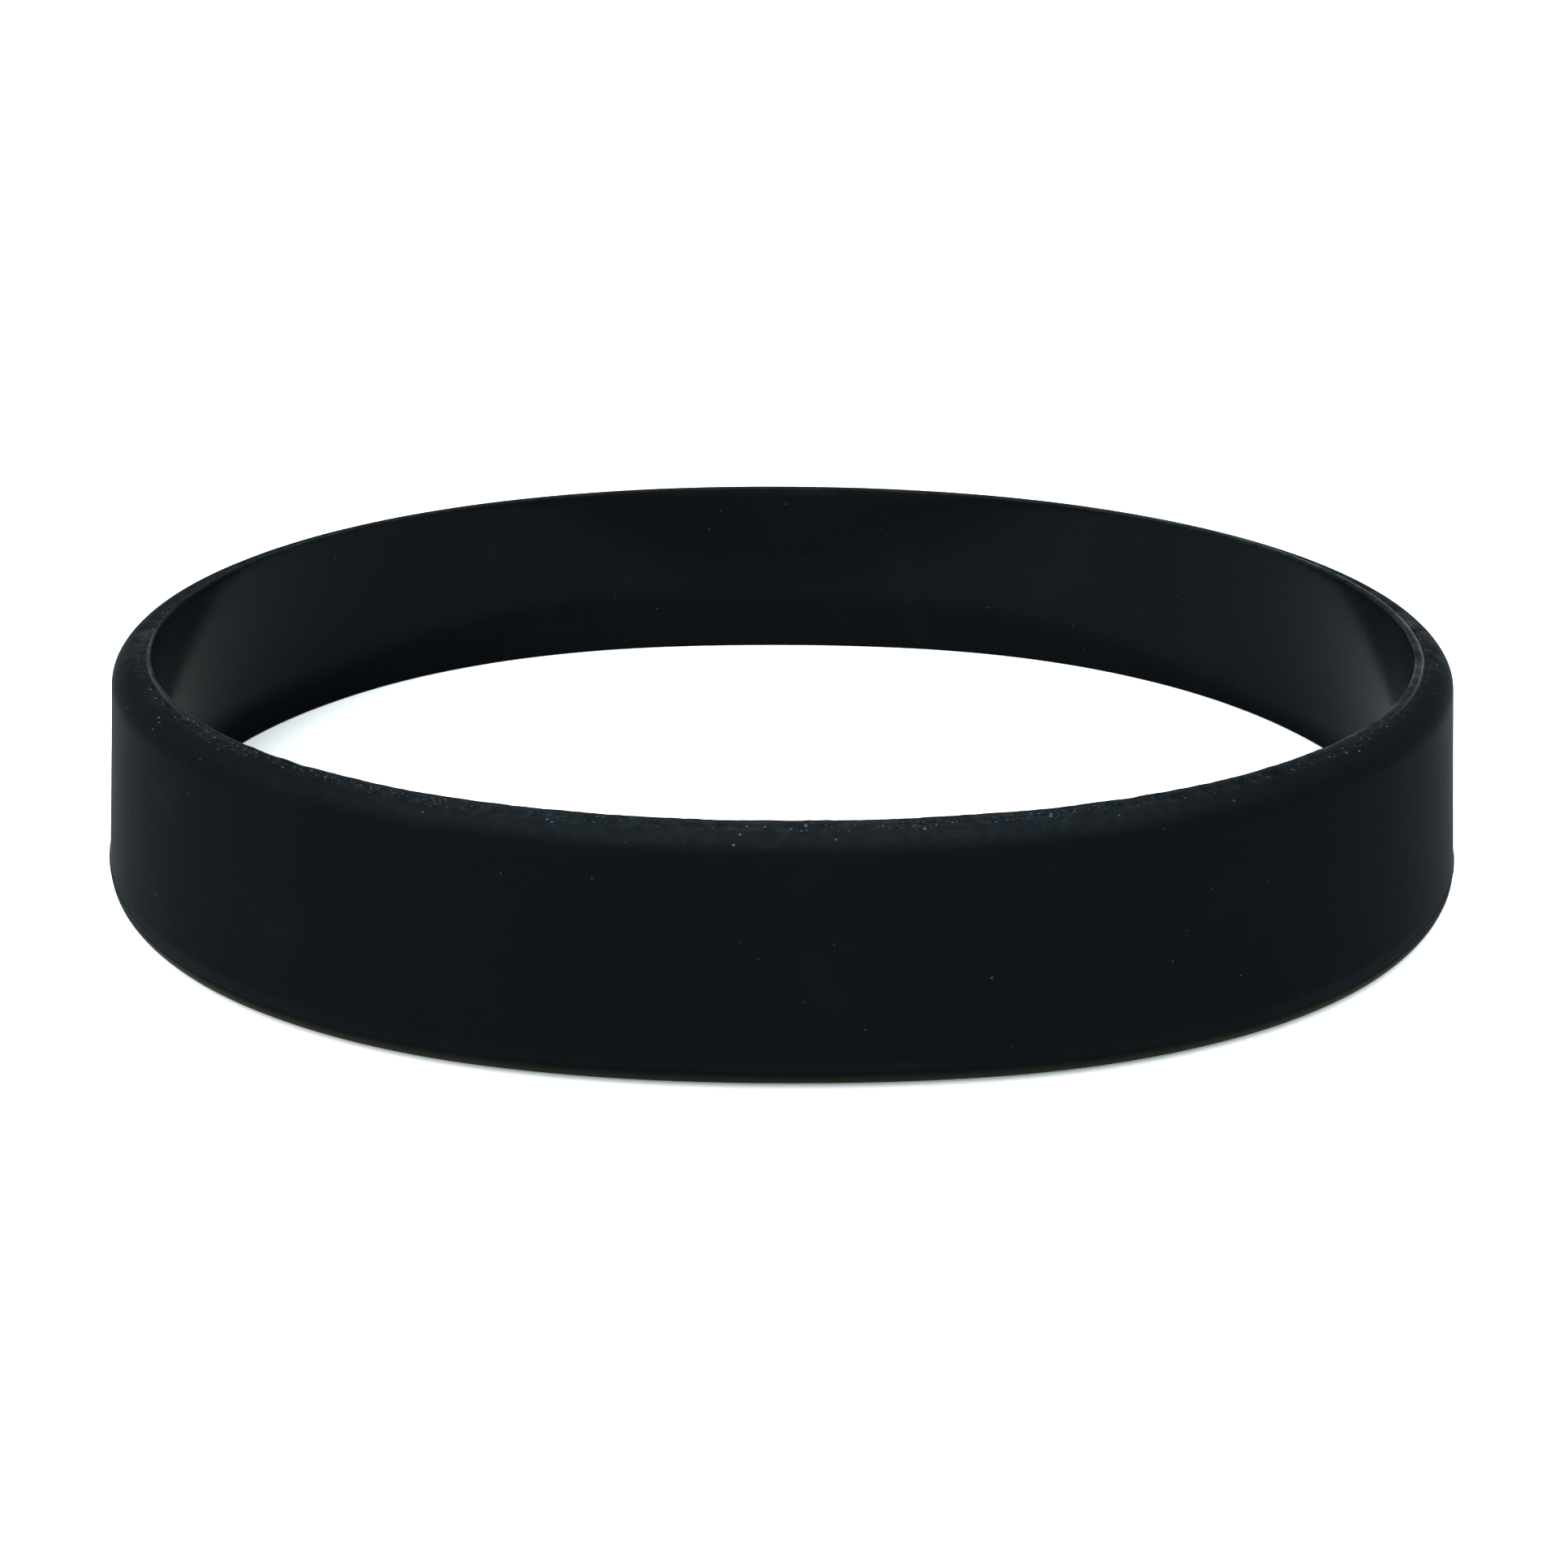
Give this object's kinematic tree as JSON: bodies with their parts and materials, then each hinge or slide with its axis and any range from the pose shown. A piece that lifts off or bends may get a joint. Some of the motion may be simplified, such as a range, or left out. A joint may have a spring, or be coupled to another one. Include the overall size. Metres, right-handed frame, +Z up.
{
  "type": "silicone wristband",
  "caption": "Plain closed loop of soft black silicone rubber with rounded outer edges, worn on the wrist and shown lying on its edge.",
  "frame": {"origin": "middle of the loop, on the surface that its lower edge rests on", "axes": "+Z up, from edge to edge across the band; +X along the loop's longer way"},
  "size_m": [0.0746, 0.0588, 0.0121],
  "materials": {
    "silicone": "matte"
  },
  "bodies": {
    "root": {"wristband": "silicone"}
  },
  "joints": []
}
